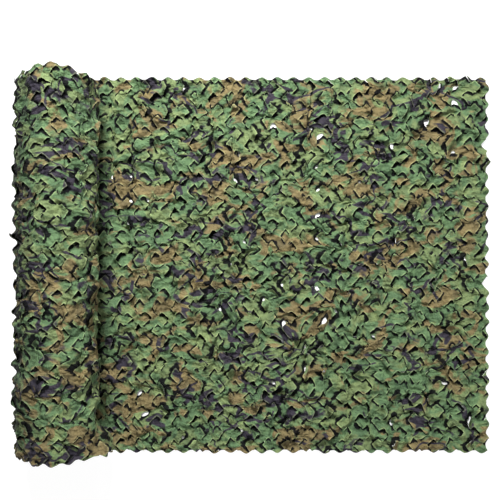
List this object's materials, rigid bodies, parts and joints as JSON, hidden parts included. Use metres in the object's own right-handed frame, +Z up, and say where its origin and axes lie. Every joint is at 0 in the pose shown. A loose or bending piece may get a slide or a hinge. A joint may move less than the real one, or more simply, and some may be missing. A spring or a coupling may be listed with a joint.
{
  "type": "camouflage net",
  "caption": "Camouflage net of thin printed cloth, die-cut into tabs, with wavy raw edges, lying flat and partly unrolled from its roll.",
  "frame": {"origin": "centre of the bounding box's base, on the surface that the net lies on", "axes": "+X from the roll to the free end, +Y along the roll, +Z up"},
  "size_m": [1.8598, 1.5, 0.3184],
  "materials": {
    "net_cloth": "matt thin woven synthetic cloth, woodland print in two greens, tan-brown and dark purple-grey, cut edges left raw"
  },
  "bodies": {
    "root": {"camouflage_net": "net_cloth"}
  },
  "joints": []
}
